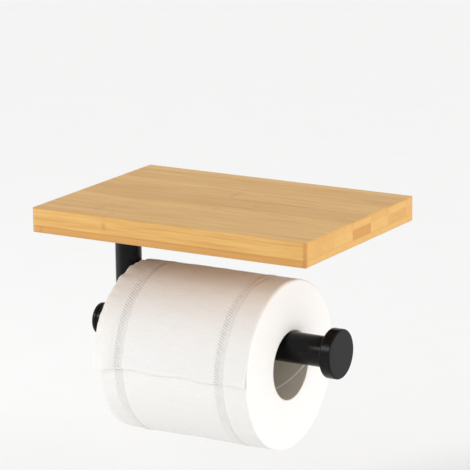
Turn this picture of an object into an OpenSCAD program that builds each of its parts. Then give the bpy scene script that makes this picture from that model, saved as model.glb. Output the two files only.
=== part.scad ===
// Wall-mounted toilet paper holder: a bamboo shelf on a bent steel bracket, with a round post that
// hangs from the bracket and carries an open roll bar, and a paper roll on the bar.
// +X runs along the shelf towards the bar's open end, +Y points into the wall, and +Z is up.
// The origin is the midpoint between the two wall screw holes, on the wall plane.

/* [Shelf board] */
// Length of the board along the wall
board_len = 180; // [176:1:220]
// Depth of the board, out from the wall
board_depth = 127; // [122:1:150]
// Thickness of the board
board_thick = 14.5; // [13:0.5:20]
// Radius of the board's upright corners
board_corner_r = 3; // [2:0.5:6]
// Radius of the rounding along the board's long and short edges
board_edge_r = 1.2; // [0.5:0.1:1.5]

/* [Wall bracket] */
// Thickness of the bracket's steel sheet
sheet = 2.5; // [2:0.5:3]
// Width of the leg that lies on the wall
leg_w = 92; // [88:1:110]
// Distance between the wall screw holes
wall_hole_gap = 70; // [60:1:76]
// Diameter of the wall screw holes
wall_hole_d = 5; // [4.5:0.5:6]
// Height of the board's underside above the wall screw holes
underside_z = 10.5; // [10:0.5:14]

/* [Post and bar] */
// Outside diameter of the upright post
post_d = 15.5; // [15:0.5:16]
// Outside diameter of the roll bar
bar_d = 18; // [18:0.5:19]
// Distance of the bar's axis from the wall
bar_out = 66; // [64:1:70]
// Drop of the bar's axis below the board's underside
bar_drop = 65.2; // [62:0.2:75]
// Distance of the post's axis to the left of the board's middle
post_left = 63.8; // [62:0.2:64]
// Length of bar that stands out to the left of the post
bar_stub = 10.2; // [8:0.2:14]
// Diameter of the cap on the bar's open end
cap_d = 29; // [26:0.5:32]
// Thickness of that cap
cap_t = 7; // [5:0.5:9]
// Diameter of the cap on the bar's other end
left_cap_d = 19; // [18.5:0.5:24]
// Thickness of that cap
left_cap_t = 3; // [2.5:0.5:5]

/* [Paper roll] */
// Outside diameter of the roll
roll_d = 100; // [60:1:112]
// Width of the roll
roll_w = 100.7; // [95:0.1:105]
// Inside diameter of the cardboard core
core_d = 40.4; // [38:0.2:44]

/* [Hidden] */
$fn = 96;

fit_gap = 0.05;              // radial gap between parts that are pressed or screwed together
hole_play = 0.6;             // how much wider a clearance hole is than its screw
eps = 0.02;                  // gap between parts whose faces meet
through = 1;                 // how far a cut runs past a face
overlap = 0.5;               // how far a shank runs into its head

// Bracket: a leg on the wall, a strip under the board's back edge, and an arm out to the post
post_x = -post_left;
bar_y = -bar_out;
bend_r = 4;                  // outside radius of the bend
arm_half = 12.2;             // half the width of the arm
arm_past_post = 26;          // from the post's axis to the arm's end
strip_half = post_left + arm_half;
strip_depth = 34;            // depth of the strip, out from the wall
plate_corner_r = 6;
leg_bottom_z = -8.5;
relief_r = 1.5;              // notches at the two ends of the bend
plate_top_z = underside_z;
plate_low_z = plate_top_z - sheet;

// Board screws, from below through the plate
screw_d = 3.9;
screw_head_d = 7.6;
screw_head_t = 2.3;
screw_reach = 10;            // how deep a screw goes into the board
screw_tip = 3;               // length of its pointed tip
screw_tip_d = 0.6;
screw_pitch = 1.4;
pilot_spare = 0.5;           // how much deeper than the screw its hole in the board is
cross_across = 4;
cross_deep = 1.5;
strip_screw_half = 60;       // half the spacing of the two screws in the strip
strip_screw_y = -18;
arm_screws = [22, -18];      // from the post's axis to the two screws in the arm, along Y
screw_spots = concat([for (side = [-1, 1]) [side * strip_screw_half, strip_screw_y]],
                     [for (step = arm_screws) [post_x, bar_y + step]]);

// Post and bar
tube_wall = 1.5;
bar_z = underside_z - bar_drop;
bar_r = bar_d / 2;
bar_bore_r = bar_r - tube_wall;
post_bore_d = post_d - 2 * tube_wall;
plug_len = 12;               // length of the threaded plugs in the post
m5_d = 4.9;
m5_bore_d = 5;
m5_pitch = 0.8;
m5_head_d = 9.4;
m5_head_t = (m5_head_d - m5_d) / 2;
hex_across = 3.4;            // across the corners of the hexagon sockets
hex_deep = 1.6;
post_screw_len = 12;
bar_left_x = post_x - post_d / 2 - bar_stub;
bar_right_x = 71.2;
end_plug_t = 5;              // length of the threaded plugs in the bar's ends
m6_d = 5.9;
m6_bore_d = 6;
m6_pitch = 1;
stud_len = 4.6;
cap_round = 0.9;
dome = 2.6;                  // how far a screw head's dome is centred above the head's base
washer_r = 4.9;
washer_z = 5.2;              // height of the saddle washer's flat face above the bar's axis
button_head_d = 8.4;
button_head_t = 2.7;
bar_screw_len = 14;
access_d = 9.6;              // hole in the bar's underside that the screw goes in by
flange_d = 12;
flange_t = 0.8;
flange_shank_in = 2.6;       // how far the access plug reaches into the bar

// Roll
roll_gap = 0.55;             // gap between the post and the roll
roll_left_x = post_x + post_d / 2 + roll_gap;
core_wall = 0.6;
core_r = core_d / 2;
roll_lift = 0.3;             // gap between the top of the bar and the core that hangs on it
roll_z = bar_z + bar_r + roll_lift - core_r;
roll_edge_r = 2.2;

black = [0.09, 0.09, 0.095];
steel = [0.72, 0.72, 0.74];
bamboo = [0.86, 0.66, 0.38];

// A rectangle from the origin to [w, h] with round corners.
module round_rect(w, h, r) {
    translate([r, 0]) square([w - 2 * r, h]);
    translate([0, r]) square([w, h - 2 * r]);
    for (x = [r, w - r], y = [r, h - r]) translate([x, y]) circle(r);
}

// A cylinder along +X from [x, y, z].
module rod_x(x, y, z, len, r) {
    translate([x, y, z]) rotate([0, 90, 0]) cylinder(r = r, h = len);
}

// V-grooves of a screw thread round +Z, from z0 to z1, cut into a shank of diameter d.
module thread_grooves(d, z0, z1, pitch) {
    half_width = 0.35 * pitch;
    outside = d / 2 + 0.1;
    bottom = d / 2 - 0.3 * pitch;
    for (z = [z0 : pitch : z1])
        translate([0, 0, z]) rotate_extrude()
            polygon([[outside, -half_width], [bottom, 0], [outside, half_width]]);
}

// The cross-shaped driver recess of a screw, cut downwards from the origin.
module cross_recess() {
    wing = cross_across / 4;
    for (turn = [0, 90]) rotate(turn)
        translate([-cross_across / 2, -wing / 2, -cross_deep])
            cube([cross_across, wing, cross_deep + through]);
}

// The hexagon socket of a screw, cut downwards from the origin.
module hex_socket() {
    translate([0, 0, -hex_deep]) cylinder(d = hex_across, h = hex_deep + through, $fn = 6);
}

module shelf_board() {
    color(bamboo) difference() {
        intersection() {
            translate([-board_len / 2, -board_depth, underside_z])
                linear_extrude(board_thick) round_rect(board_len, board_depth, board_corner_r);
            translate([-board_len / 2, 0, underside_z]) rotate([90, 0, 0])
                linear_extrude(board_depth) round_rect(board_len, board_thick, board_edge_r);
            translate([-board_len / 2, -board_depth, underside_z]) rotate([90, 0, 90])
                linear_extrude(board_len) round_rect(board_depth, board_thick, board_edge_r);
        }
        for (p = screw_spots) translate([p[0], p[1], underside_z - through])
            cylinder(d = screw_d + 2 * fit_gap, h = screw_reach + through + pilot_spare);
    }
}

// Flat outline of the bracket's strip and arm, seen from above.
module strip_and_arm() {
    arm_len = bar_out + arm_past_post - bend_r;
    difference() {
        union() {
            translate([-strip_half, -strip_depth])
                round_rect(2 * strip_half, strip_depth - bend_r, plate_corner_r);
            translate([post_x - arm_half, -bend_r - arm_len])
                round_rect(2 * arm_half, arm_len, plate_corner_r);
            translate([post_x + arm_half, -strip_depth]) mirror([0, 1]) difference() {
                square(plate_corner_r);
                translate([1, 1] * plate_corner_r) circle(plate_corner_r);
            }
        }
        for (side = [-1, 1])
            translate([side * (leg_w / 2 + relief_r), -bend_r]) circle(relief_r);
    }
}

module wall_bracket() {
    wall_span = plate_low_z - bend_r + sheet - leg_bottom_z;
    color(black) difference() {
        union() {
            translate([0, 0, plate_low_z]) linear_extrude(sheet) strip_and_arm();
            // bend
            translate([-leg_w / 2, -bend_r, plate_top_z - bend_r]) rotate([90, 0, 90])
                linear_extrude(leg_w) intersection() {
                    difference() {
                        circle(bend_r);
                        circle(bend_r - sheet);
                    }
                    square(bend_r + through);
                }
            // leg on the wall
            translate([-leg_w / 2, 0, leg_bottom_z]) rotate([90, 0, 0])
                linear_extrude(sheet) difference() {
                    square([leg_w, wall_span]);
                    for (side = [0, 1]) translate([side * leg_w, 0]) mirror([side, 0]) difference() {
                        square(plate_corner_r / 2);
                        translate([1, 1] * plate_corner_r / 2) circle(plate_corner_r / 2);
                    }
                }
        }
        for (side = [-1, 1])
            translate([side * wall_hole_gap / 2, through, 0]) rotate([90, 0, 0])
                cylinder(d = wall_hole_d, h = sheet + 2 * through);
        for (p = screw_spots) translate([p[0], p[1], plate_low_z - through])
            cylinder(d = screw_d + hole_play, h = sheet + 2 * through);
        // countersink of the post screw
        translate([post_x, bar_y, plate_low_z - through])
            cylinder(d = m5_d + hole_play, h = sheet + 2 * through);
        translate([post_x, bar_y, plate_top_z - m5_head_t])
            cylinder(d1 = m5_d + 2 * fit_gap, d2 = m5_head_d + 2 * fit_gap, h = m5_head_t + eps);
    }
}

module board_screw() {
    shank = sheet + screw_reach - screw_tip;
    difference() {
        union() {
            intersection() {
                translate([0, 0, -screw_head_t]) cylinder(d = screw_head_d, h = screw_head_t - eps);
                translate([0, 0, dome]) sphere(r = screw_head_t + dome);
            }
            translate([0, 0, -overlap]) cylinder(d = screw_d, h = shank + overlap);
            translate([0, 0, shank]) cylinder(d1 = screw_d, d2 = screw_tip_d, h = screw_tip);
        }
        thread_grooves(screw_d, sheet + screw_pitch / 2, shank - screw_pitch / 2, screw_pitch);
        translate([0, 0, -screw_head_t]) mirror([0, 0, 1]) cross_recess();
    }
}

module board_screws() {
    color(steel) for (p = screw_spots) translate([p[0], p[1], plate_low_z]) board_screw();
}

module post_tube() {
    color(black) difference() {
        translate([post_x, bar_y, bar_z]) cylinder(d = post_d, h = plate_low_z - eps - bar_z);
        translate([post_x, bar_y, bar_z - through])
            cylinder(d = post_bore_d, h = plate_low_z - bar_z + 2 * through);
        rod_x(post_x - post_d, bar_y, bar_z, 2 * post_d, bar_r + eps);
    }
}

module post_top_plug() {
    color(steel) translate([post_x, bar_y, plate_low_z - 2 * eps - plug_len]) difference() {
        cylinder(d = post_bore_d - 2 * fit_gap, h = plug_len);
        translate([0, 0, -through]) cylinder(d = m5_bore_d, h = plug_len + 2 * through);
    }
}

module post_screw() {
    color(steel) translate([post_x, bar_y, plate_top_z - eps]) difference() {
        union() {
            translate([0, 0, -m5_head_t]) cylinder(d1 = m5_d, d2 = m5_head_d, h = m5_head_t);
            translate([0, 0, -post_screw_len]) cylinder(d = m5_d, h = post_screw_len - m5_head_t + eps);
        }
        thread_grooves(m5_d, m5_pitch - post_screw_len, -sheet - m5_pitch, m5_pitch);
        hex_socket();
    }
}

module post_bottom_plug() {
    color(steel) difference() {
        translate([post_x, bar_y, bar_z]) cylinder(d = post_bore_d - 2 * fit_gap, h = bar_r + plug_len);
        translate([post_x, bar_y, bar_z]) cylinder(d = m5_bore_d, h = bar_r + plug_len + through);
        rod_x(post_x - post_d, bar_y, bar_z, 2 * post_d, bar_r + eps);
    }
}

module roll_bar() {
    len = bar_right_x - bar_left_x;
    color(black) difference() {
        rod_x(bar_left_x, bar_y, bar_z, len, bar_r);
        rod_x(bar_left_x - through, bar_y, bar_z, len + 2 * through, bar_bore_r);
        translate([post_x, bar_y, bar_z]) cylinder(d = m5_d + hole_play, h = bar_r + through);
        translate([post_x, bar_y, bar_z - bar_r - through]) cylinder(d = access_d, h = bar_r);
    }
}

module saddle_washer() {
    color(steel) difference() {
        intersection() {
            translate([post_x, bar_y, bar_z + washer_z]) cylinder(r = washer_r, h = bar_r);
            rod_x(post_x - post_d, bar_y, bar_z, 2 * post_d, bar_bore_r - eps);
        }
        translate([post_x, bar_y, bar_z]) cylinder(d = m5_d + hole_play, h = bar_r + through);
    }
}

module bar_screw() {
    color(steel) translate([post_x, bar_y, bar_z + washer_z - eps]) difference() {
        union() {
            intersection() {
                translate([0, 0, -button_head_t]) cylinder(d = button_head_d, h = button_head_t);
                translate([0, 0, dome]) sphere(r = button_head_t + dome);
            }
            translate([0, 0, -overlap]) cylinder(d = m5_d, h = bar_screw_len + overlap);
        }
        thread_grooves(m5_d, bar_r - washer_z + m5_pitch, bar_screw_len - m5_pitch, m5_pitch);
        translate([0, 0, -button_head_t]) mirror([0, 0, 1]) hex_socket();
    }
}

module access_plug() {
    color(black) translate([post_x, bar_y, bar_z]) {
        // flange
        intersection() {
            translate([0, 0, -2 * bar_r]) cylinder(d = flange_d, h = 2 * bar_r);
            difference() {
                rod_x(-flange_d, 0, 0, 2 * flange_d, bar_r + flange_t);
                rod_x(-flange_d - through, 0, 0, 2 * flange_d + 2 * through, bar_r + eps);
            }
        }
        // shank
        intersection() {
            translate([0, 0, -2 * bar_r]) cylinder(d = access_d - 2 * fit_gap, h = 2 * bar_r);
            difference() {
                rod_x(-flange_d, 0, 0, 2 * flange_d, bar_r + flange_t / 2);
                rod_x(-flange_d - through, 0, 0, 2 * flange_d + 2 * through, bar_r - flange_shank_in);
            }
        }
    }
}

// A threaded plug in the bore of the bar, from x along +X.
module bar_plug(x) {
    color(steel) difference() {
        rod_x(x, bar_y, bar_z, end_plug_t, bar_bore_r - fit_gap);
        rod_x(x - through, bar_y, bar_z, end_plug_t + 2 * through, m6_bore_d / 2);
    }
}

module bar_plug_left() { bar_plug(bar_left_x); }

module bar_plug_right() { bar_plug(bar_right_x - end_plug_t); }

// An end cap with its stud, about +Z: the stud points down, and the disc stands on z = 0.
module end_cap(d, t) {
    color(black) {
        rotate_extrude() intersection() {
            translate([-d / 2, 0]) round_rect(d, t, cap_round);
            translate([0, -through]) square([d, t + 2 * through]);
        }
        difference() {
            translate([0, 0, -stud_len]) cylinder(d = m6_d, h = stud_len + eps);
            thread_grooves(m6_d, m6_pitch - stud_len, -m6_pitch / 2, m6_pitch);
        }
    }
}

module end_cap_left() {
    translate([bar_left_x - eps, bar_y, bar_z]) rotate([0, -90, 0]) end_cap(left_cap_d, left_cap_t);
}

module end_cap_right() {
    translate([bar_right_x + eps, bar_y, bar_z]) rotate([0, 90, 0]) end_cap(cap_d, cap_t);
}

module cardboard_core() {
    color([0.62, 0.58, 0.52]) difference() {
        rod_x(roll_left_x, bar_y, roll_z, roll_w, core_r + core_wall);
        rod_x(roll_left_x - through, bar_y, roll_z, roll_w + 2 * through, core_r);
    }
}

module paper_roll() {
    hollow_r = core_r + core_wall + eps;
    color([0.96, 0.95, 0.93]) translate([roll_left_x, bar_y, roll_z]) rotate([0, 90, 0])
        rotate_extrude() difference() {
            intersection() {
                translate([-roll_d / 2, 0]) round_rect(roll_d, roll_w, roll_edge_r);
                translate([0, -through]) square([roll_d, roll_w + 2 * through]);
            }
            translate([-through, -through]) square([hollow_r + through, roll_w + 2 * through]);
        }
}

shelf_board();
wall_bracket();
board_screws();
post_tube();
post_top_plug();
post_screw();
post_bottom_plug();
roll_bar();
saddle_washer();
bar_screw();
access_plug();
bar_plug_left();
bar_plug_right();
end_cap_left();
end_cap_right();
cardboard_core();
paper_roll();
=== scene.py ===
"""Looks of a wall-mounted toilet paper holder: bamboo shelf, black bar on a post, and a paper roll."""

import math

import bmesh
import bpy
from mathutils import Matrix, Vector, noise


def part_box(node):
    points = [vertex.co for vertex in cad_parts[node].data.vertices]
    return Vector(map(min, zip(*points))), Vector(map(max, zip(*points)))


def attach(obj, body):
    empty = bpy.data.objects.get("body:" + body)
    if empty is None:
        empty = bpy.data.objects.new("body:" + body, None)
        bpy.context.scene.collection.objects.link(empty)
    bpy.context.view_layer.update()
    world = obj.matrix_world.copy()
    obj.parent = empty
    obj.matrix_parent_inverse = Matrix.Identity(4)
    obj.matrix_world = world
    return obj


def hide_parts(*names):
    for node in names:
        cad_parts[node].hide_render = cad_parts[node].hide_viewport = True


bl_info = {
    "name": "Toilet Paper Holder",
    "version": (1, 0, 0),
    "blender": (4, 5, 0),
    "location": "3D View > Sidebar > Paper Holder",
    "description": "Finishes the shelf, bar and paper roll of a toilet paper holder",
    "category": "Object",
}

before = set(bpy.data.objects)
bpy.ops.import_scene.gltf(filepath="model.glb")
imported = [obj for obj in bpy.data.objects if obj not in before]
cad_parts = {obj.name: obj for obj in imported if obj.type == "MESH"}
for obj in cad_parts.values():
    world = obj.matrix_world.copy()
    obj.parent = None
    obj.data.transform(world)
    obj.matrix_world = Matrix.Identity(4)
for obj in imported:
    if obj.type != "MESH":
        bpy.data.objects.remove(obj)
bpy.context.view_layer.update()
MM = 0.001

COATED_NODES = ("wall_bracket", "post_tube", "roll_bar", "access_plug", "end_cap_left", "end_cap_right")
ZINC_NODES = ("board_screws", "post_top_plug", "post_screw", "post_bottom_plug",
              "saddle_washer", "bar_screw", "bar_plug_left", "bar_plug_right")

PAPER_LOW, PAPER_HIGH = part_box("paper_roll")
CORE_LOW, CORE_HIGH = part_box("cardboard_core")
BOARD_LOW, BOARD_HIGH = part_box("shelf_board")
ROLL_WIDTH = PAPER_HIGH.x - PAPER_LOW.x
ROLL_RADIUS = (PAPER_HIGH.z - PAPER_LOW.z) / 2
ROLL_CENTRE = (PAPER_LOW + PAPER_HIGH) / 2
CORE_RADIUS = (CORE_HIGH.z - CORE_LOW.z) / 2
SKIN = 0.55 * MM  # how far the wound paper lies under the CAD roll's surface, to leave room for its dents


# ---------------------------------------------------------------- colours and nodes

def linear(hex_colour):
    """Turns an sRGB colour such as "#e2b878" to linear red, green, blue and alpha."""
    channels = [int(hex_colour[i:i + 2], 16) / 255 for i in (1, 3, 5)]
    return [c / 12.92 if c <= 0.04045 else ((c + 0.055) / 1.055) ** 2.4 for c in channels] + [1.0]


def add_node(tree, kind, inputs=None, **settings):
    """Adds a node. An input's value is either a number or colour, or another node's output to link."""
    new = tree.nodes.new(kind)
    for name, value in settings.items():
        setattr(new, name, value)
    for key, value in (inputs or {}).items():
        if isinstance(value, bpy.types.NodeSocket):
            tree.links.new(value, new.inputs[key])
        else:
            new.inputs[key].default_value = value
    return new


def start_material(name):
    """Makes an empty material, and returns it with its node tree."""
    material = bpy.data.materials.new(name)
    material.use_nodes = True
    material.node_tree.nodes.clear()
    return material, material.node_tree


def millimetres(tree, origin=(0, 0, 0)):
    """The point on the surface in millimetres, measured from origin, which is in metres."""
    place = add_node(tree, "ShaderNodeTexCoord")
    moved = add_node(tree, "ShaderNodeVectorMath", {0: place.outputs["Object"], 1: origin},
                     operation="SUBTRACT")
    scaled = add_node(tree, "ShaderNodeVectorMath", {0: moved.outputs[0], "Scale": 1 / MM},
                      operation="SCALE")
    return scaled.outputs[0]


def paint(obj, material):
    """Gives every face of an object one material."""
    obj.data.materials.clear()
    obj.data.materials.append(material)
    for face in obj.data.polygons:
        face.material_index = 0


# ---------------------------------------------------------------- settings

class HolderBoardSettings(bpy.types.PropertyGroup):
    """The bamboo board."""
    light_colour: bpy.props.StringProperty(
        name="Light grain", description="Pale ground between the fibres, as sRGB hex", default="#e1b768")
    dark_colour: bpy.props.StringProperty(
        name="Dark grain", description="Colour of the fibre bundles, as sRGB hex", default="#c79144")
    amber_colour: bpy.props.StringProperty(
        name="Amber strips", description="Colour of the darker strips, as sRGB hex", default="#bd8136")
    # also the colour that the upright corners are darkened towards
    node_and_corner_colour: bpy.props.StringProperty(
        name="Cane nodes", description="Colour of the marks where the cane had its rings", default="#a8682c")
    glue_colour: bpy.props.StringProperty(
        name="Glue lines", description="Colour of the lines between strips", default="#b77a37")
    draw: bpy.props.FloatProperty(
        name="Draw", description="Which draw of random tints the strips take", default=14155)
    draw_step: bpy.props.FloatProperty(
        name="Draw step", description="Added to the draw for the second cane of a strip", default=239)
    strip_width: bpy.props.FloatProperty(
        name="Strip width", description="Width of each glued strip", default=0.0212, unit="LENGTH")
    lower_ply: bpy.props.FloatProperty(
        name="Lower ply", description="Thickness of the lower ply", default=0.0042, unit="LENGTH")
    cane_height: bpy.props.FloatProperty(
        name="Cane height", description="Height in the board where one cane of a strip meets the next",
        default=0.0101, unit="LENGTH")
    fibre_width: bpy.props.FloatProperty(
        name="Fibre width", description="Width of a fibre bundle, drawn coarse enough to show",
        default=0.0011, unit="LENGTH")
    fibre_length: bpy.props.FloatProperty(
        name="Fibre length", description="Length of the streak a fibre bundle leaves",
        default=0.034, unit="LENGTH")


class HolderMetalSettings(bpy.types.PropertyGroup):
    """The coated steel and the bare fasteners."""
    coat_colour: bpy.props.StringProperty(
        name="Powder coat", description="Colour of the black powder coat, as sRGB hex", default="#0b0b0c")
    coat_grain: bpy.props.FloatProperty(
        name="Coat grain", description="Width of the bumps in the coat", default=0.0006, unit="LENGTH")
    zinc_colour: bpy.props.StringProperty(
        name="Zinc", description="Colour of the zinc plating, as sRGB hex", default="#c3c5c8")


class HolderRollSettings(bpy.types.PropertyGroup):
    """The paper roll and its core."""
    paper_colour: bpy.props.StringProperty(
        name="Tissue", description="Colour of the tissue, as sRGB hex", default="#dfddda")
    # painted shade: the grey that the pressed dashes and grooves are mixed towards
    pressed_shade_colour: bpy.props.StringProperty(
        name="Pressed tissue", description="Colour where the tissue is pressed flat, as sRGB hex",
        default="#b5afa9")
    core_colour: bpy.props.StringProperty(
        name="Core board", description="Colour of the grey board, as sRGB hex", default="#cdc3b3")
    seam_colour: bpy.props.StringProperty(
        name="Core seam", description="Colour of the spiral seam, as sRGB hex", default="#fdfaf4")
    left_band: bpy.props.FloatProperty(
        name="Left band", description="Middle of the left row of dashes, from the roll's left end",
        default=0.0143, unit="LENGTH")
    right_band: bpy.props.FloatProperty(
        name="Right band", description="Middle of the right row of dashes, from the roll's right end",
        default=0.0194, unit="LENGTH")
    groove_offset: bpy.props.FloatProperty(
        name="Groove offset", description="From the middle of a row of dashes to its groove",
        default=0.0031, unit="LENGTH")
    dash_length: bpy.props.FloatProperty(
        name="Dash length", description="Length of a pressed dash, across the band",
        default=0.0036, unit="LENGTH")
    dash_pitch: bpy.props.FloatProperty(
        name="Dash pitch", description="Distance between dashes round the roll",
        default=0.0017, unit="LENGTH")
    dash_slant: bpy.props.FloatProperty(
        name="Dash slant", description="Distance round the roll that a dash gains for each unit of width",
        default=0.62)
    dash_depth: bpy.props.FloatProperty(
        name="Dash depth", description="How deep a dash is pressed", default=0.00075, unit="LENGTH")
    groove_depth: bpy.props.FloatProperty(
        name="Groove depth", description="How deep the pressed groove is", default=0.0006, unit="LENGTH")
    sheet_thickness: bpy.props.FloatProperty(
        name="Sheet thickness", description="Thickness of the loose outer sheet, with its plies apart",
        default=0.0003, unit="LENGTH")
    tail_start: bpy.props.FloatProperty(
        name="Tail start", description="Where the loose sheet lifts off, round the roll from the back",
        default=math.radians(62), subtype="ANGLE")
    tail_end: bpy.props.FloatProperty(
        name="Tail end", description="Where the loose sheet ends, round the roll from the back",
        default=math.radians(181), subtype="ANGLE")


class HolderStageSettings(bpy.types.PropertyGroup):
    """The camera, the lights and the floor."""
    azimuth: bpy.props.FloatProperty(
        name="Azimuth", description="Camera's turn to the right of the holder's front",
        default=math.radians(30.87), subtype="ANGLE")
    elevation: bpy.props.FloatProperty(
        name="Elevation", description="Camera's angle above the holder",
        default=math.radians(13.96), subtype="ANGLE")
    tilt: bpy.props.FloatProperty(
        name="Tilt", description="Camera's roll about its own line of sight",
        default=math.radians(-0.72), subtype="ANGLE")
    distance: bpy.props.FloatProperty(
        name="Distance", description="From the aim point to the camera", default=1.775, unit="LENGTH")
    lens: bpy.props.FloatProperty(
        name="Lens", description="Focal length in millimetres, on a sensor 36 mm wide", default=229.8,
        unit="CAMERA")
    aim: bpy.props.FloatVectorProperty(
        name="Aim", description="Point that the camera looks at", default=(-0.0202, -0.0172, -0.0073),
        subtype="TRANSLATION")
    floor_colour: bpy.props.StringProperty(
        name="Floor", description="Colour of the floor, as sRGB hex", default="#fafafa")
    floor_drop: bpy.props.FloatProperty(
        name="Floor drop", description="From the lowest point of the roll to the floor",
        default=0.06, unit="LENGTH")
    key_strength: bpy.props.FloatProperty(
        name="Left light", description="Strength of the soft light from the front left", default=0.56)
    strip_power: bpy.props.FloatProperty(
        name="Left strip", description="Power of the softbox near the holder's left", default=1.8,
        unit="POWER")
    side_strength: bpy.props.FloatProperty(
        name="Side light", description="Strength of the soft light from the right", default=2.15)
    sky_strength: bpy.props.FloatProperty(
        name="Sky", description="Strength of the pale surroundings", default=0.78)


# ---------------------------------------------------------------- stage

def camera_axes(azimuth, elevation, tilt):
    """Right, up and backward directions of a camera that looks at the holder's front from above."""
    back = Vector((math.sin(azimuth) * math.cos(elevation),
                   -math.cos(azimuth) * math.cos(elevation), math.sin(elevation)))
    level = Vector((math.cos(azimuth), math.sin(azimuth), 0))
    upright = back.cross(level)
    right = math.cos(tilt) * level + math.sin(tilt) * upright
    up = math.cos(tilt) * upright - math.sin(tilt) * level
    return right, up, back


def make_camera(settings):
    """The camera, on the line from the aim point at the asked angles."""
    right, up, back = camera_axes(settings.azimuth, settings.elevation, settings.tilt)
    data = bpy.data.cameras.new("camera")
    data.sensor_width = 36
    data.lens = settings.lens
    data.clip_end = 30
    camera = bpy.data.objects.new("camera", data)
    turn = Matrix((right, up, back)).transposed().to_4x4()
    camera.matrix_world = Matrix.Translation(Vector(settings.aim) + back * settings.distance) @ turn
    bpy.context.scene.collection.objects.link(camera)
    bpy.context.scene.camera = camera


def make_light(name, azimuth, elevation, spread, strength):
    """A distant round softbox, spread degrees wide, that shines from the asked direction."""
    data = bpy.data.lights.new(name, "SUN")
    data.angle = math.radians(spread)
    data.energy = strength
    light = bpy.data.objects.new(name, data)
    towards = camera_axes(math.radians(azimuth), math.radians(elevation), 0)[2]
    light.rotation_euler = towards.to_track_quat("Z", "Y").to_euler()
    bpy.context.scene.collection.objects.link(light)


def make_strip(name, azimuth, distance, rise, size, power):
    """A softbox near the holder, rise above the roll's axis. It is kept out of pictures."""
    data = bpy.data.lights.new(name, "AREA")
    data.shape = "RECTANGLE"
    data.size, data.size_y = size
    data.energy = power
    light = bpy.data.objects.new(name, data)
    towards = camera_axes(math.radians(azimuth), 0, 0)[2]
    light.location = ROLL_CENTRE + towards * distance + Vector((0, 0, rise))
    light.rotation_euler = towards.to_track_quat("Z", "Y").to_euler()
    light.visible_camera = False
    bpy.context.scene.collection.objects.link(light)


def painted_plaster(colour):
    """Matt wall paint on plaster, rolled on: no gloss, and a faint unevenness from the roller."""
    material, tree = start_material("painted_plaster")
    place = millimetres(tree)
    mottle = add_node(tree, "ShaderNodeTexNoise", {"Vector": place, "Scale": 1 / 40, "Detail": 3.0})
    mixed = add_node(tree, "ShaderNodeMix",
                     {0: mottle.outputs["Fac"], 6: linear(colour), 7: linear("#f7f7f6")}, data_type="RGBA")
    shader = add_node(tree, "ShaderNodeBsdfPrincipled", {"Base Color": mixed.outputs[2], "Roughness": 0.9})
    add_node(tree, "ShaderNodeOutputMaterial", {"Surface": shader.outputs[0]})
    return material


class HOLDER_OT_stage(bpy.types.Operator):
    """Set the camera, the soft lights, the pale surroundings and the floor"""
    bl_idname = "holder.stage"
    bl_label = "Stage"

    def execute(self, context):
        settings = context.scene.holder_stage
        make_camera(settings)
        make_light("left_softbox", azimuth=-35, elevation=28, spread=14, strength=settings.key_strength)
        make_strip("left_strip", azimuth=-62, distance=0.8, rise=0.10, size=(0.42, 0.30),
                   power=settings.strip_power)
        make_light("side_softbox", azimuth=82, elevation=8, spread=40, strength=settings.side_strength)
        world = bpy.data.worlds.new("pale_surroundings")
        world.use_nodes = True
        world.node_tree.nodes["Background"].inputs["Color"].default_value = linear("#fdfdfd")
        world.node_tree.nodes["Background"].inputs["Strength"].default_value = settings.sky_strength
        context.scene.world = world
        context.scene.view_settings.view_transform = "Standard"
        mesh = bpy.data.meshes.new("floor")
        shape = bmesh.new()
        bmesh.ops.create_circle(shape, cap_ends=True, segments=96, radius=9)
        shape.to_mesh(mesh)
        shape.free()
        floor = bpy.data.objects.new("floor", mesh)
        floor.location.z = PAPER_LOW.z - settings.floor_drop
        context.scene.collection.objects.link(floor)
        paint(floor, painted_plaster(settings.floor_colour))
        return {"FINISHED"}


# ---------------------------------------------------------------- bamboo board

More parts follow.
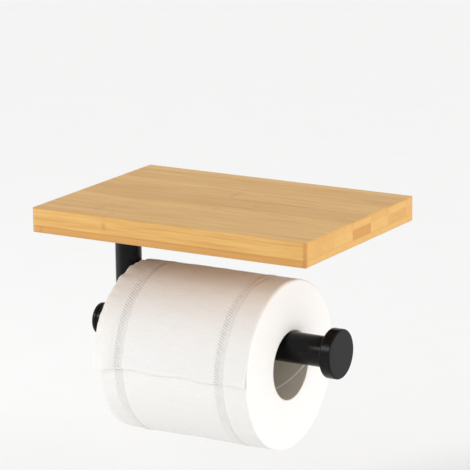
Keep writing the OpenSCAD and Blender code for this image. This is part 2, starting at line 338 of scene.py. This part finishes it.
def lacquered_bamboo(settings):
    """Bamboo strips, glued edge to edge in two plies, planed, and finished in clear matt lacquer.

    The cane's fibre bundles leave fine streaks along X, and dots where a strip is cut across. They
    are drawn about 1 mm wide, coarser than the real 0.3 mm, so that they show from the camera.
    Each strip comes from another cane, so it has its own tint, and it carries a brown mark
    where the cane had a ring. The lacquer is thin, so the sheen is soft and broad."""
    material, tree = start_material("lacquered_bamboo")
    place = millimetres(tree, BOARD_LOW)
    axes = add_node(tree, "ShaderNodeSeparateXYZ", {0: place})
    along, across, height = axes.outputs
    math_node = "ShaderNodeMath"

    # which ply and which strip
    split = settings.lower_ply / MM
    lower = add_node(tree, math_node, {0: height, 1: split}, operation="LESS_THAN").outputs[0]
    shift = add_node(tree, math_node, {0: lower, 1: settings.strip_width / MM * 0.43,
                                       2: settings.strip_width / MM * 0.5},
                     operation="MULTIPLY_ADD").outputs[0]
    moved = add_node(tree, math_node, {0: across, 1: shift}, operation="ADD").outputs[0]
    counted = add_node(tree, math_node, {0: moved, 1: settings.strip_width / MM},
                       operation="DIVIDE").outputs[0]
    strip = add_node(tree, math_node, {0: counted}, operation="FLOOR").outputs[0]
    within = add_node(tree, math_node, {0: counted}, operation="FRACT").outputs[0]
    label = add_node(tree, "ShaderNodeCombineXYZ", {0: strip, 1: lower, 2: settings.draw}).outputs[0]
    chance = add_node(tree, "ShaderNodeTexWhiteNoise", {"Vector": label}, noise_dimensions="3D")
    spread = add_node(tree, "ShaderNodeVectorMath", {0: chance.outputs["Color"], "Scale": 90.0},
                      operation="SCALE").outputs[0]

    # fibre streaks, fine and broad, each strip with its own
    stretched = add_node(tree, "ShaderNodeVectorMath", {
        0: place, 1: (MM / settings.fibre_length, MM / settings.fibre_width, MM / settings.fibre_width)},
        operation="MULTIPLY").outputs[0]
    fine_place = add_node(tree, "ShaderNodeVectorMath", {0: stretched, 1: spread},
                          operation="ADD").outputs[0]
    fine = add_node(tree, "ShaderNodeTexNoise", {"Vector": fine_place, "Scale": 1.0, "Detail": 3.0,
                                                 "Roughness": 0.6}).outputs["Fac"]
    fine = add_node(tree, "ShaderNodeMapRange", {0: fine, 1: 0.36, 2: 0.66}).outputs[0]
    broad_place = add_node(tree, "ShaderNodeVectorMath", {0: fine_place, 1: (0.25, 0.22, 0.22)},
                           operation="MULTIPLY").outputs[0]
    broad = add_node(tree, "ShaderNodeTexNoise", {"Vector": broad_place, "Scale": 1.0, "Detail": 2.0,
                                                  "Roughness": 0.5}).outputs["Fac"]
    broad = add_node(tree, "ShaderNodeMapRange", {0: broad, 1: 0.3, 2: 0.7}).outputs[0]
    streaks = add_node(tree, "ShaderNodeMix", {0: 0.45, 2: fine, 3: broad}, data_type="FLOAT").outputs[0]

    # a cut end's dots of fibre are small and even, so they show less than the streaks do
    facing = add_node(tree, "ShaderNodeTexCoord").outputs["Normal"]
    facing = add_node(tree, "ShaderNodeVectorMath", {0: facing}, operation="ABSOLUTE").outputs[0]
    sideways, forwards, _ = add_node(tree, "ShaderNodeSeparateXYZ", {0: facing}).outputs
    cut_end = add_node(tree, "ShaderNodeMapRange", {0: sideways, 1: 0.5, 2: 0.9}).outputs[0]
    calmed = add_node(tree, "ShaderNodeMapRange", {0: cut_end, 3: 0.0, 4: 0.6}).outputs[0]
    streaks = add_node(tree, "ShaderNodeMix", {0: calmed, 2: streaks, 3: 0.5}, data_type="FLOAT").outputs[0]
    ground = add_node(tree, "ShaderNodeMix", {
        0: streaks, 6: linear(settings.light_colour), 7: linear(settings.dark_colour)},
        data_type="RGBA").outputs[2]

    # tint of each strip, stronger in the lower ply and on the cut ends, where a strip may be two canes high
    second_cane = add_node(tree, math_node, {0: height, 1: settings.cane_height / MM},
                           operation="GREATER_THAN").outputs[0]
    end_draw = add_node(tree, math_node, {0: second_cane, 1: settings.draw_step, 2: settings.draw},
                        operation="MULTIPLY_ADD").outputs[0]
    end_label = add_node(tree, "ShaderNodeCombineXYZ", {0: strip, 1: lower, 2: end_draw}).outputs[0]
    end_chance = add_node(tree, "ShaderNodeTexWhiteNoise", {"Vector": end_label}, noise_dimensions="3D")
    own = add_node(tree, "ShaderNodeMix", {
        0: cut_end, 2: chance.outputs["Value"], 3: end_chance.outputs["Value"]}, data_type="FLOAT").outputs[0]
    weight = add_node(tree, "ShaderNodeMapRange", {0: cut_end, 3: 0.35, 4: 0.85}).outputs[0]
    tint = add_node(tree, math_node, {0: own, 1: weight}, operation="MULTIPLY").outputs[0]
    lower_tint = add_node(tree, "ShaderNodeMapRange", {0: cut_end, 3: 0.65, 4: 0.15}).outputs[0]
    tint = add_node(tree, "ShaderNodeMix", {0: lower, 2: tint, 3: lower_tint}, data_type="FLOAT").outputs[0]
    tinted = add_node(tree, "ShaderNodeMix", {0: tint, 6: ground, 7: linear(settings.amber_colour)},
                      data_type="RGBA").outputs[2]

    # the upright corners, where the face turns between the front or back and the end, are mixed towards a
    # darker colour
    corner = add_node(tree, math_node, {0: sideways, 1: forwards}, operation="MULTIPLY").outputs[0]
    corner = add_node(tree, "ShaderNodeMapRange", {0: corner, 1: 0.2, 2: 0.5, 3: 0.0, 4: 0.6}).outputs[0]
    tinted = add_node(tree, "ShaderNodeMix", {0: corner, 6: tinted, 7: linear(settings.node_and_corner_colour)},
                      data_type="RGBA").outputs[2]

    # one ring mark on each strip, in a wavering and broken line across the fibres
    ring_gap = 215  # millimetres along the cane
    waver = add_node(tree, "ShaderNodeTexNoise", {"Vector": place, "Scale": 0.35, "Detail": 2.0}
                     ).outputs["Fac"]
    wavered = add_node(tree, math_node, {0: waver, 1: 3.5, 2: along}, operation="MULTIPLY_ADD").outputs[0]
    ring = add_node(tree, math_node, {0: wavered, 1: ring_gap}, operation="DIVIDE").outputs[0]
    ring = add_node(tree, math_node, {0: ring, 1: chance.outputs["Value"]}, operation="ADD").outputs[0]
    ring = add_node(tree, math_node, {0: ring}, operation="FRACT").outputs[0]
    ring = add_node(tree, math_node, {0: ring, 1: 0.5}, operation="SUBTRACT").outputs[0]
    ring = add_node(tree, math_node, {0: ring}, operation="ABSOLUTE").outputs[0]
    ring = add_node(tree, "ShaderNodeMapRange", {
        0: ring, 1: 0.3 / ring_gap, 2: 2.0 / ring_gap, 3: 0.38, 4: 0.0},
        interpolation_type="SMOOTHSTEP").outputs[0]
    patches = add_node(tree, "ShaderNodeTexNoise", {"Vector": place, "Scale": 0.14, "Detail": 1.0}
                       ).outputs["Fac"]
    patches = add_node(tree, "ShaderNodeMapRange", {0: patches, 1: 0.42, 2: 0.6}).outputs[0]
    ring = add_node(tree, math_node, {0: ring, 1: patches}, operation="MULTIPLY").outputs[0]
    ringed = add_node(tree, "ShaderNodeMix", {0: ring, 6: tinted, 7: linear(settings.node_and_corner_colour)},
                      data_type="RGBA").outputs[2]

    # glue lines between strips, and between the plies, where the cut ends show them less
    side_gap = add_node(tree, math_node, {0: within, 1: 0.5}, operation="SUBTRACT").outputs[0]
    side_gap = add_node(tree, math_node, {0: side_gap}, operation="ABSOLUTE").outputs[0]
    side_line = add_node(tree, "ShaderNodeMapRange", {0: side_gap, 1: 0.485, 2: 0.5, 3: 0.0, 4: 0.45}
                         ).outputs[0]
    ply_gap = add_node(tree, math_node, {0: height, 1: split}, operation="SUBTRACT").outputs[0]
    ply_gap = add_node(tree, math_node, {0: ply_gap}, operation="ABSOLUTE").outputs[0]
    ply_line = add_node(tree, "ShaderNodeMapRange", {0: ply_gap, 1: 0.15, 2: 0.55, 3: 0.6, 4: 0.0}).outputs[0]
    faint = add_node(tree, "ShaderNodeMapRange", {0: cut_end, 3: 1.0, 4: 0.45}).outputs[0]
    ply_line = add_node(tree, math_node, {0: ply_line, 1: faint}, operation="MULTIPLY").outputs[0]
    glue = add_node(tree, math_node, {0: side_line, 1: ply_line}, operation="MAXIMUM").outputs[0]
    colour = add_node(tree, "ShaderNodeMix", {0: glue, 6: ringed, 7: linear(settings.glue_colour)},
                      data_type="RGBA").outputs[2]

    sheen = add_node(tree, "ShaderNodeMapRange", {0: streaks, 3: 0.40, 4: 0.52}).outputs[0]
    relief = add_node(tree, "ShaderNodeBump", {"Height": streaks, "Strength": 0.25, "Distance": 0.05 * MM})
    shader = add_node(tree, "ShaderNodeBsdfPrincipled", {
        "Base Color": colour, "Roughness": sheen, "Normal": relief.outputs[0], "IOR": 1.5,
        "Coat Weight": 0.12, "Coat Roughness": 0.35})
    add_node(tree, "ShaderNodeOutputMaterial", {"Surface": shader.outputs[0]})
    return material


class HOLDER_OT_board(bpy.types.Operator):
    """Finish the bamboo board"""
    bl_idname = "holder.board"
    bl_label = "Bamboo board"

    def execute(self, context):
        paint(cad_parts["shelf_board"], lacquered_bamboo(context.scene.holder_board))
        return {"FINISHED"}


# ---------------------------------------------------------------- metal

def black_powder_coat(settings):
    """Black polyester powder coat, baked on steel.

    The powder flows into a fine uneven skin, so highlights are soft and slightly broken up."""
    material, tree = start_material("black_powder_coat")
    place = millimetres(tree)
    grain = add_node(tree, "ShaderNodeTexNoise", {
        "Vector": place, "Scale": MM / settings.coat_grain, "Detail": 3.0, "Roughness": 0.6})
    flow = add_node(tree, "ShaderNodeTexNoise", {"Vector": place, "Scale": 1 / 14, "Detail": 2.0})
    gloss = add_node(tree, "ShaderNodeMapRange", {0: flow.outputs["Fac"], 1: 0.3, 2: 0.7, 3: 0.23, 4: 0.3})
    tone = add_node(tree, "ShaderNodeMix", {
        0: grain.outputs["Fac"], 6: linear(settings.coat_colour), 7: linear("#131314")}, data_type="RGBA")
    relief = add_node(tree, "ShaderNodeBump", {
        "Height": grain.outputs["Fac"], "Strength": 0.35, "Distance": 0.04 * MM})
    shader = add_node(tree, "ShaderNodeBsdfPrincipled", {
        "Base Color": tone.outputs[2], "Roughness": gloss.outputs[0], "Normal": relief.outputs[0],
        "IOR": 1.5, "Specular IOR Level": 0.14})
    add_node(tree, "ShaderNodeOutputMaterial", {"Surface": shader.outputs[0]})
    return material


def bright_zinc(settings):
    """Steel screws and plugs with bright zinc plating.

    The plating is pale and slightly clouded."""
    material, tree = start_material("bright_zinc")
    place = millimetres(tree)
    cloud = add_node(tree, "ShaderNodeTexNoise", {"Vector": place, "Scale": 0.8, "Detail": 3.0})
    gloss = add_node(tree, "ShaderNodeMapRange", {0: cloud.outputs["Fac"], 1: 0.3, 2: 0.7, 3: 0.24, 4: 0.4})
    tone = add_node(tree, "ShaderNodeMix", {
        0: cloud.outputs["Fac"], 6: linear(settings.zinc_colour), 7: linear("#b3b2a8")}, data_type="RGBA")
    relief = add_node(tree, "ShaderNodeBump", {
        "Height": cloud.outputs["Fac"], "Strength": 0.2, "Distance": 0.03 * MM})
    shader = add_node(tree, "ShaderNodeBsdfPrincipled", {
        "Base Color": tone.outputs[2], "Metallic": 1.0, "Roughness": gloss.outputs[0],
        "Normal": relief.outputs[0]})
    add_node(tree, "ShaderNodeOutputMaterial", {"Surface": shader.outputs[0]})
    return material


class HOLDER_OT_coated_steel(bpy.types.Operator):
    """Finish the bracket, post, bar, plug and end caps"""
    bl_idname = "holder.coated_steel"
    bl_label = "Coated steel"

    def execute(self, context):
        coat = black_powder_coat(context.scene.holder_metal)
        for name in COATED_NODES:
            paint(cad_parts[name], coat)
        return {"FINISHED"}


class HOLDER_OT_fasteners(bpy.types.Operator):
    """Finish the screws, the saddle washer and the threaded plugs"""
    bl_idname = "holder.fasteners"
    bl_label = "Fasteners"

    def execute(self, context):
        zinc = bright_zinc(context.scene.holder_metal)
        for name in ZINC_NODES:
            paint(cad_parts[name], zinc)
        return {"FINISHED"}


# ---------------------------------------------------------------- paper roll

def about_roll(tree):
    """Millimetres along the roll, from its axis, and round it, with the angle in radians."""
    place = millimetres(tree, ROLL_CENTRE)
    along, sideways, upward = add_node(tree, "ShaderNodeSeparateXYZ", {0: place}).outputs
    flat = add_node(tree, "ShaderNodeCombineXYZ", {0: 0.0, 1: sideways, 2: upward}).outputs[0]
    radius = add_node(tree, "ShaderNodeVectorMath", {0: flat}, operation="LENGTH").outputs["Value"]
    angle = add_node(tree, "ShaderNodeMath", {0: upward, 1: sideways}, operation="ARCTAN2").outputs[0]
    return place, along, radius, angle


def dash_spacing(settings):
    """Distance between dashes, so that a whole number of them goes round the roll."""
    round_roll = math.tau * ROLL_RADIUS
    return round_roll / round(round_roll / settings.dash_pitch)


def pressed_shade_mask(tree, settings, along, angle):
    """How strongly each place takes the painted shade: the same dashes and grooves as in emboss, as nodes."""
    math_node = "ShaderNodeMath"
    from_left = add_node(tree, math_node, {0: along, 1: ROLL_WIDTH / MM / 2}, operation="ADD").outputs[0]
    place = add_node(tree, "ShaderNodeCombineXYZ", {0: along, 1: angle, 2: 0.0}).outputs[0]
    uneven = add_node(tree, "ShaderNodeVectorMath", {0: place, 1: (0.12, 7.0, 1.0)},
                      operation="MULTIPLY").outputs[0]
    uneven = add_node(tree, "ShaderNodeTexNoise", {"Vector": uneven, "Scale": 1.0, "Detail": 2.0}
                      ).outputs["Fac"]
    uneven = add_node(tree, "ShaderNodeMapRange", {0: uneven, 1: 0.35, 2: 0.65, 3: 0.35, 4: 1.0}).outputs[0]
    # pressed adds up the painted shade of the dashes and grooves
    pressed = 0.0
    for middle in (settings.left_band, ROLL_WIDTH - settings.right_band):
        offset = add_node(tree, math_node, {0: from_left, 1: middle / MM}, operation="SUBTRACT").outputs[0]
        slanted = add_node(tree, math_node, {0: offset, 1: settings.dash_slant},
                           operation="MULTIPLY").outputs[0]
        phase = add_node(tree, math_node, {0: angle, 1: ROLL_RADIUS / MM}, operation="MULTIPLY").outputs[0]
        phase = add_node(tree, math_node, {0: phase, 1: slanted}, operation="SUBTRACT").outputs[0]
        phase = add_node(tree, math_node, {0: phase, 1: math.tau * MM / dash_spacing(settings)},
                         operation="MULTIPLY").outputs[0]
        wave = add_node(tree, math_node, {0: phase}, operation="COSINE").outputs[0]
        dash = add_node(tree, "ShaderNodeMapRange", {0: wave, 1: -0.2, 2: 0.9}).outputs[0]
        inside = add_node(tree, math_node, {0: offset}, operation="ABSOLUTE").outputs[0]
        half = settings.dash_length / MM / 2
        inside = add_node(tree, "ShaderNodeMapRange", {
            0: inside, 1: half - 0.2, 2: half + 0.4, 3: 0.34, 4: 0.0}).outputs[0]
        dash = add_node(tree, math_node, {0: dash, 1: inside}, operation="MULTIPLY").outputs[0]
        groove = add_node(tree, math_node, {0: offset, 1: settings.groove_offset / MM},
                          operation="SUBTRACT").outputs[0]
        groove = add_node(tree, math_node, {0: groove}, operation="ABSOLUTE").outputs[0]
        groove = add_node(tree, "ShaderNodeMapRange", {0: groove, 1: 0.2, 2: 1.6, 3: 0.15, 4: 0.0}).outputs[0]
        pressed = add_node(tree, math_node, {0: pressed, 1: dash}, operation="ADD").outputs[0]
        pressed = add_node(tree, math_node, {0: pressed, 1: groove}, operation="ADD").outputs[0]
    return add_node(tree, math_node, {0: pressed, 1: uneven}, operation="MULTIPLY").outputs[0]


def wound_tissue(settings):
    """Two-ply creped tissue, wound into a roll.

    It scatters light softly and has no gloss. Creping leaves tiny ridges that lie along the
    roll's width, drawn about 0.9 mm apart, coarser than the real 0.3 mm, so that they show. The
    pressed dashes and grooves are painted a little greyer than the rest, as painted shade in
    these recesses."""
    material, tree = start_material("wound_tissue")
    place, along, radius, angle = about_roll(tree)
    turned = add_node(tree, "ShaderNodeMath", {0: angle, 1: ROLL_RADIUS / MM},
                      operation="MULTIPLY").outputs[0]
    crepe_place = add_node(tree, "ShaderNodeCombineXYZ", {0: along, 1: turned, 2: radius}).outputs[0]
    crepe_place = add_node(tree, "ShaderNodeVectorMath", {0: crepe_place, 1: (0.25, 1.1, 1.6)},
                           operation="MULTIPLY").outputs[0]
    crepe = add_node(tree, "ShaderNodeTexNoise", {"Vector": crepe_place, "Scale": 1.0, "Detail": 3.0,
                                                  "Roughness": 0.65}).outputs["Fac"]
    puckers = add_node(tree, "ShaderNodeTexNoise", {"Vector": place, "Scale": 1 / 9, "Detail": 2.0,
                                                    "Roughness": 0.5}).outputs["Fac"]
    relief = add_node(tree, "ShaderNodeMath", {0: puckers, 1: 3.0, 2: crepe},
                      operation="MULTIPLY_ADD").outputs[0]
    bump = add_node(tree, "ShaderNodeBump", {"Height": relief, "Strength": 0.6, "Distance": 0.26 * MM})
    tone = add_node(tree, "ShaderNodeMix", {
        0: crepe, 6: linear(settings.paper_colour), 7: linear("#ebeae8")}, data_type="RGBA").outputs[2]
    # painted shade: the pressed dashes and grooves are mixed towards a grey
    tone = add_node(tree, "ShaderNodeMix", {
        0: pressed_shade_mask(tree, settings, along, angle), 6: tone, 7: linear(settings.pressed_shade_colour)},
        data_type="RGBA").outputs[2]
    shader = add_node(tree, "ShaderNodeBsdfPrincipled", {
        "Base Color": tone, "Roughness": 0.95, "Normal": bump.outputs[0], "IOR": 1.35,
        "Specular IOR Level": 0.2, "Subsurface Weight": 0.25, "Subsurface Radius": (1.0, 0.9, 0.8),
        "Subsurface Scale": 1.2 * MM, "Sheen Weight": 0.15, "Sheen Roughness": 0.6})
    add_node(tree, "ShaderNodeOutputMaterial", {"Surface": shader.outputs[0]})
    return material


def spiral_grey_board(settings):
    """Grey board strips, wound in a spiral and glued into a tube.

    The board is dull and slightly mottled with fibres, and the strip's cut edge shows as one
    pale line that climbs round the inside."""
    material, tree = start_material("spiral_grey_board")
    place, along, radius, angle = about_roll(tree)
    seam_pitch = 90  # millimetres along the core for one turn of the seam
    seam_phase = -0.076  # turns
    turns = add_node(tree, "ShaderNodeMath", {0: angle, 1: -1 / math.tau, 2: seam_phase},
                     operation="MULTIPLY_ADD").outputs[0]
    spiral = add_node(tree, "ShaderNodeMath", {0: along, 1: 1 / seam_pitch, 2: turns},
                      operation="MULTIPLY_ADD").outputs[0]
    spiral = add_node(tree, "ShaderNodeMath", {0: spiral}, operation="FRACT").outputs[0]
    off_seam = add_node(tree, "ShaderNodeMath", {0: spiral, 1: 0.5}, operation="SUBTRACT").outputs[0]
    off_seam = add_node(tree, "ShaderNodeMath", {0: off_seam}, operation="ABSOLUTE").outputs[0]
    seam = add_node(tree, "ShaderNodeMapRange", {
        0: off_seam, 1: 0.45 / seam_pitch, 2: 0.9 / seam_pitch, 3: 1.0, 4: 0.0}).outputs[0]
    fibres = add_node(tree, "ShaderNodeTexNoise", {"Vector": place, "Scale": 0.9, "Detail": 4.0,
                                                   "Roughness": 0.7}).outputs["Fac"]
    board = add_node(tree, "ShaderNodeMix", {
        0: fibres, 6: linear(settings.core_colour), 7: linear("#dad1c2")}, data_type="RGBA").outputs[2]
    colour = add_node(tree, "ShaderNodeMix", {0: seam, 6: board, 7: linear(settings.seam_colour)},
                      data_type="RGBA").outputs[2]
    raised = add_node(tree, "ShaderNodeMath", {0: seam, 1: 2.0, 2: fibres},
                      operation="MULTIPLY_ADD").outputs[0]
    relief = add_node(tree, "ShaderNodeBump", {"Height": raised, "Strength": 0.4, "Distance": 0.08 * MM})
    shader = add_node(tree, "ShaderNodeBsdfPrincipled", {
        "Base Color": colour, "Roughness": 0.85, "Normal": relief.outputs[0], "IOR": 1.4})
    add_node(tree, "ShaderNodeOutputMaterial", {"Surface": shader.outputs[0]})
    return material


def bell(offset, width):
    """1 at the middle, falling smoothly to nothing at about twice the width."""
    return math.exp(-(offset / width) ** 2)


def emboss(settings, along, angle):
    """How far the pressed pattern pushes the paper in at a place along and round the roll."""
    depth = 0
    round_place = angle * ROLL_RADIUS
    pitch = dash_spacing(settings)
    for middle in (settings.left_band, ROLL_WIDTH - settings.right_band):
        offset = along - middle
        edge = abs(offset) / (settings.dash_length / 2)
        if edge < 1.35:
            wave = 0.5 + 0.5 * math.cos(math.tau * (round_place - settings.dash_slant * offset) / pitch)
            depth += settings.dash_depth * wave * math.exp(-edge ** 8)
        depth += settings.groove_depth * bell(offset - settings.groove_offset, 1.0 * MM)
        depth += 0.5 * settings.groove_depth * bell(offset + settings.groove_offset, 0.9 * MM)
        depth -= 0.5 * settings.groove_depth * bell(offset, 1.9 * MM)
    return depth


def softness(along, angle):
    """Slow unevenness of the wound paper, in metres."""
    spot = Vector((along * 28, 1.6 * math.cos(angle), 1.6 * math.sin(angle)))
    slow = 0.28 * noise.noise(spot) + 0.12 * noise.noise(spot * 3.1)
    puckers = Vector((along * 150, 7 * math.cos(angle), 7 * math.sin(angle)))
    return (slow + (0.10 + 0.40 * bell(along, 9 * MM)) * noise.noise(puckers)) * MM


def paper_radius(settings, along, angle):
    """Radius of the roll's outside, away from its rounded ends."""
    return ROLL_RADIUS - SKIN - emboss(settings, along, angle) + softness(along, angle)


def roll_point(along, radius, angle):
    """A point of the roll. The angle is 0 at the back and grows over the top to the front."""
    return (PAPER_LOW.x + along, ROLL_CENTRE.y + radius * math.cos(angle),
            ROLL_CENTRE.z + radius * math.sin(angle))


def columns(settings):
    """Places along the roll's width: close together in the pressed bands, and wide elsewhere."""
    fine, coarse = 0.45 * MM, 2.2 * MM
    past_groove = 2.5 * MM
    first, last, least_step = 4.4 * MM, ROLL_WIDTH - 2 * MM, 0.5 * MM
    zones = [(b - settings.dash_length, b + settings.groove_offset + past_groove)
             for b in (settings.left_band, ROLL_WIDTH - settings.right_band)]
    places = [first]
    while places[-1] < last - least_step:
        near = any(low <= places[-1] <= high for low, high in zones)
        places.append(places[-1] + (fine if near else coarse))
    places[-1] = last
    return places


def left_rounding(angle):
    """Radius of the roll's left edge: crisp over the top, and crushed rounder where it was stood on."""
    crushed_towards = math.radians(285)
    dents = 0.8 * noise.noise(Vector((6 * math.cos(angle), 6 * math.sin(angle), 3.0)))
    return (1.2 + dents + 2.9 * (0.5 + 0.5 * math.cos(angle - crushed_towards)) ** 1.5) * MM


def join_rings(shape, rings, closed):
    """Faces between neighbouring rings of points."""
    count = len(rings[0])
    for low, high in zip(rings, rings[1:]):
        for i in range(count if closed else count - 1):
            j = (i + 1) % count
            shape.faces.new((low[i], low[j], high[j], high[i]))


def finish_piece(name, shape, material, smooth_angle):
    """Turns a bmesh into a smooth-shaded piece."""
    bmesh.ops.recalc_face_normals(shape, faces=shape.faces)
    mesh = bpy.data.meshes.new(name)
    shape.to_mesh(mesh)
    shape.free()
    piece = bpy.data.objects.new(name, mesh)
    bpy.context.scene.collection.objects.link(piece)
    mesh.shade_smooth()
    mesh.set_sharp_from_angle(angle=smooth_angle)
    paint(piece, material)
    return piece


def make_wound_paper(settings, material):
    """The wound paper: a closed tube with soft ends, and layers that stand slightly uneven."""
    turns = 1000
    right_round = 1.3 * MM
    arc_steps = 7
    inner = CORE_RADIUS + 0.02 * MM
    rings = []
    shape = bmesh.new()

    def ring(along, radius_at):
        rings.append([shape.verts.new(roll_point(along(a), radius_at(a), a))
                      for a in (math.tau * i / turns for i in range(turns))])

    def face_dent(share, angle, seed):
        """The cut end's layers: rings that stand a little in or out, and a slow dish."""
        rows = noise.noise(Vector((share * 46, 0.35 * math.cos(angle), 0.35 * math.sin(angle) + seed)))
        slow = noise.noise(Vector((2.2 * share * math.cos(angle), 2.2 * share * math.sin(angle), seed)))
        return (0.10 * rows + 0.35 * (0.5 + 0.5 * slow)) * MM

    def end_rings(at_left):
        """Rings over one cut end, from the core out to where its rounding starts."""
        flat_rings = 48
        base, sign = (0, 1) if at_left else (ROLL_WIDTH, -1)

        def reach(angle):
            rounding = left_rounding(angle) if at_left else right_round
            return ROLL_RADIUS - SKIN - rounding - inner

        for i in range(flat_rings + 1):
            share = i / flat_rings
            ease = min(1, 6 * share, 6 * (1 - share))
            yield (lambda a, s=share, e=ease: base + sign * e * face_dent(s, a, sign * 7.0),
                   lambda a, s=share: inner + reach(a) * s)

    for along, radius_at in end_rings(True):
        ring(along, radius_at)
    for i in range(1, arc_steps):
        turn = math.pi / 2 * i / arc_steps
        ring(lambda a, t=turn: left_rounding(a) * (1 - math.cos(t)),
             lambda a, t=turn: paper_radius(settings, left_rounding(a), a)
             - left_rounding(a) * (1 - math.sin(t)))
    for x in columns(settings):
        ring(lambda a, x=x: x, lambda a, x=x: paper_radius(settings, x, a))
    for i in range(1, arc_steps):
        turn = math.pi / 2 * (1 - i / arc_steps)
        ring(lambda a, t=turn: ROLL_WIDTH - right_round * (1 - math.cos(t)),
             lambda a, t=turn: paper_radius(settings, ROLL_WIDTH - right_round, a)
             - right_round * (1 - math.sin(t)))
    for along, radius_at in reversed(list(end_rings(False))):
        ring(along, radius_at)
    rings.append(rings[0])
    join_rings(shape, rings, True)
    return finish_piece("wound_paper", shape, material, math.radians(60))


def tail_lift(settings, along, angle):
    """How far the loose sheet stands off the roll: nothing at its start, most at its free left corner."""
    share = (angle - settings.tail_start) / (settings.tail_end - settings.tail_start)
    to_end = (settings.tail_end - angle) * ROLL_RADIUS
    started = min(1, share * 4)
    flare_width = (8 - 3.5 * bell(to_end, 12 * MM)) * MM
    left_edge = 3.4 * bell(along, flare_width) * min(1, max(0, 2.2 * share - 0.7)) ** 1.3
    left_corner = 1.6 * bell(along, 7 * MM) * bell(to_end, 14 * MM)
    right_corner = bell(ROLL_WIDTH - along, 6 * MM) * bell(to_end, 9 * MM)
    loose = (0.5 + 0.4 * noise.noise(Vector((along * 90, 4.0, 1.0)))) * bell(to_end, 5 * MM)
    kinks = 1.3 * bell(along, 4 * MM) * (0.5 + noise.noise(Vector((9 * angle, 2.0, 8.0)))) * started
    snug = 0.5 * started - 0.45
    return (snug + kinks + loose + left_edge + left_corner + right_corner) * MM


def make_tail(settings, material):
    """The last sheet, which comes over the top and ends across the front."""
    thick = settings.sheet_thickness
    steps = 330
    inset = 0.9 * MM
    turned_down = 2 * MM
    places = [inset, 2.2 * MM] + columns(settings) + [ROLL_WIDTH - inset]
    shape = bmesh.new()
    outer, inner = [], []
    for x in places:
        wander = 0.9 * MM * noise.noise(Vector((x * 60, 2.0, 5.0))) / ROLL_RADIUS
        dip = 1.8 * MM * bell(x, 13 * MM) / ROLL_RADIUS
        end = settings.tail_end + wander + dip
        near_end = min(x, ROLL_WIDTH - x)
        drop = inset * max(0, 1 - near_end / turned_down) ** 2
        row_out, row_in = [], []
        for i in range(steps + 1):
            angle = settings.tail_start + (end - settings.tail_start) * i / steps
            radius = paper_radius(settings, x, angle) + tail_lift(settings, x, angle) - drop
            row_out.append(shape.verts.new(roll_point(x, radius + thick, angle)))
            row_in.append(shape.verts.new(roll_point(x, radius, angle)))
        outer.append(row_out)
        inner.append(row_in)
    join_rings(shape, outer, False)
    join_rings(shape, inner, False)
    join_rings(shape, [outer[0], inner[0]], False)
    join_rings(shape, [outer[-1], inner[-1]], False)
    join_rings(shape, [[r[0] for r in outer], [r[0] for r in inner]], False)
    join_rings(shape, [[r[-1] for r in outer], [r[-1] for r in inner]], False)
    return finish_piece("loose_sheet", shape, material, math.radians(50))


class HOLDER_OT_core(bpy.types.Operator):
    """Finish the cardboard core"""
    bl_idname = "holder.core"
    bl_label = "Cardboard core"

    def execute(self, context):
        paint(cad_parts["cardboard_core"], spiral_grey_board(context.scene.holder_roll))
        return {"FINISHED"}


class HOLDER_OT_paper(bpy.types.Operator):
    """Make the wound paper and its loose last sheet"""
    bl_idname = "holder.paper"
    bl_label = "Paper roll"

    def execute(self, context):
        settings = context.scene.holder_roll
        tissue = wound_tissue(settings)
        paper = make_wound_paper(settings, tissue)
        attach(paper, "roll")
        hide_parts("paper_roll")
        tail = make_tail(settings, tissue)
        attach(tail, "roll")
        return {"FINISHED"}


# ---------------------------------------------------------------- add-on

class HOLDER_PT_panel(bpy.types.Panel):
    """Lists the steps that finish the paper holder"""
    bl_idname = "HOLDER_PT_panel"
    bl_label = "Paper Holder"
    bl_space_type = "VIEW_3D"
    bl_region_type = "UI"
    bl_category = "Paper Holder"

    def draw(self, context):
        for step in STEPS:
            self.layout.operator(step.bl_idname)


STEPS = (HOLDER_OT_stage, HOLDER_OT_board, HOLDER_OT_coated_steel, HOLDER_OT_fasteners,
         HOLDER_OT_core, HOLDER_OT_paper)
SETTINGS = {
    "holder_board": HolderBoardSettings,
    "holder_metal": HolderMetalSettings,
    "holder_roll": HolderRollSettings,
    "holder_stage": HolderStageSettings,
}


def register():
    """Adds the settings, the steps and the panel to Blender."""
    for name, group in SETTINGS.items():
        bpy.utils.register_class(group)
        setattr(bpy.types.Scene, name, bpy.props.PointerProperty(type=group))
    for step in STEPS:
        bpy.utils.register_class(step)
    bpy.utils.register_class(HOLDER_PT_panel)


def unregister():
    """Takes them out again."""
    bpy.utils.unregister_class(HOLDER_PT_panel)
    for step in reversed(STEPS):
        bpy.utils.unregister_class(step)
    for name, group in SETTINGS.items():
        delattr(bpy.types.Scene, name)
        bpy.utils.unregister_class(group)


def main():
    """Makes the whole holder."""
    register()
    bpy.ops.holder.stage()
    bpy.ops.holder.board()
    bpy.ops.holder.coated_steel()
    bpy.ops.holder.fasteners()
    bpy.ops.holder.core()
    bpy.ops.holder.paper()


if __name__ == "__main__":
    main()
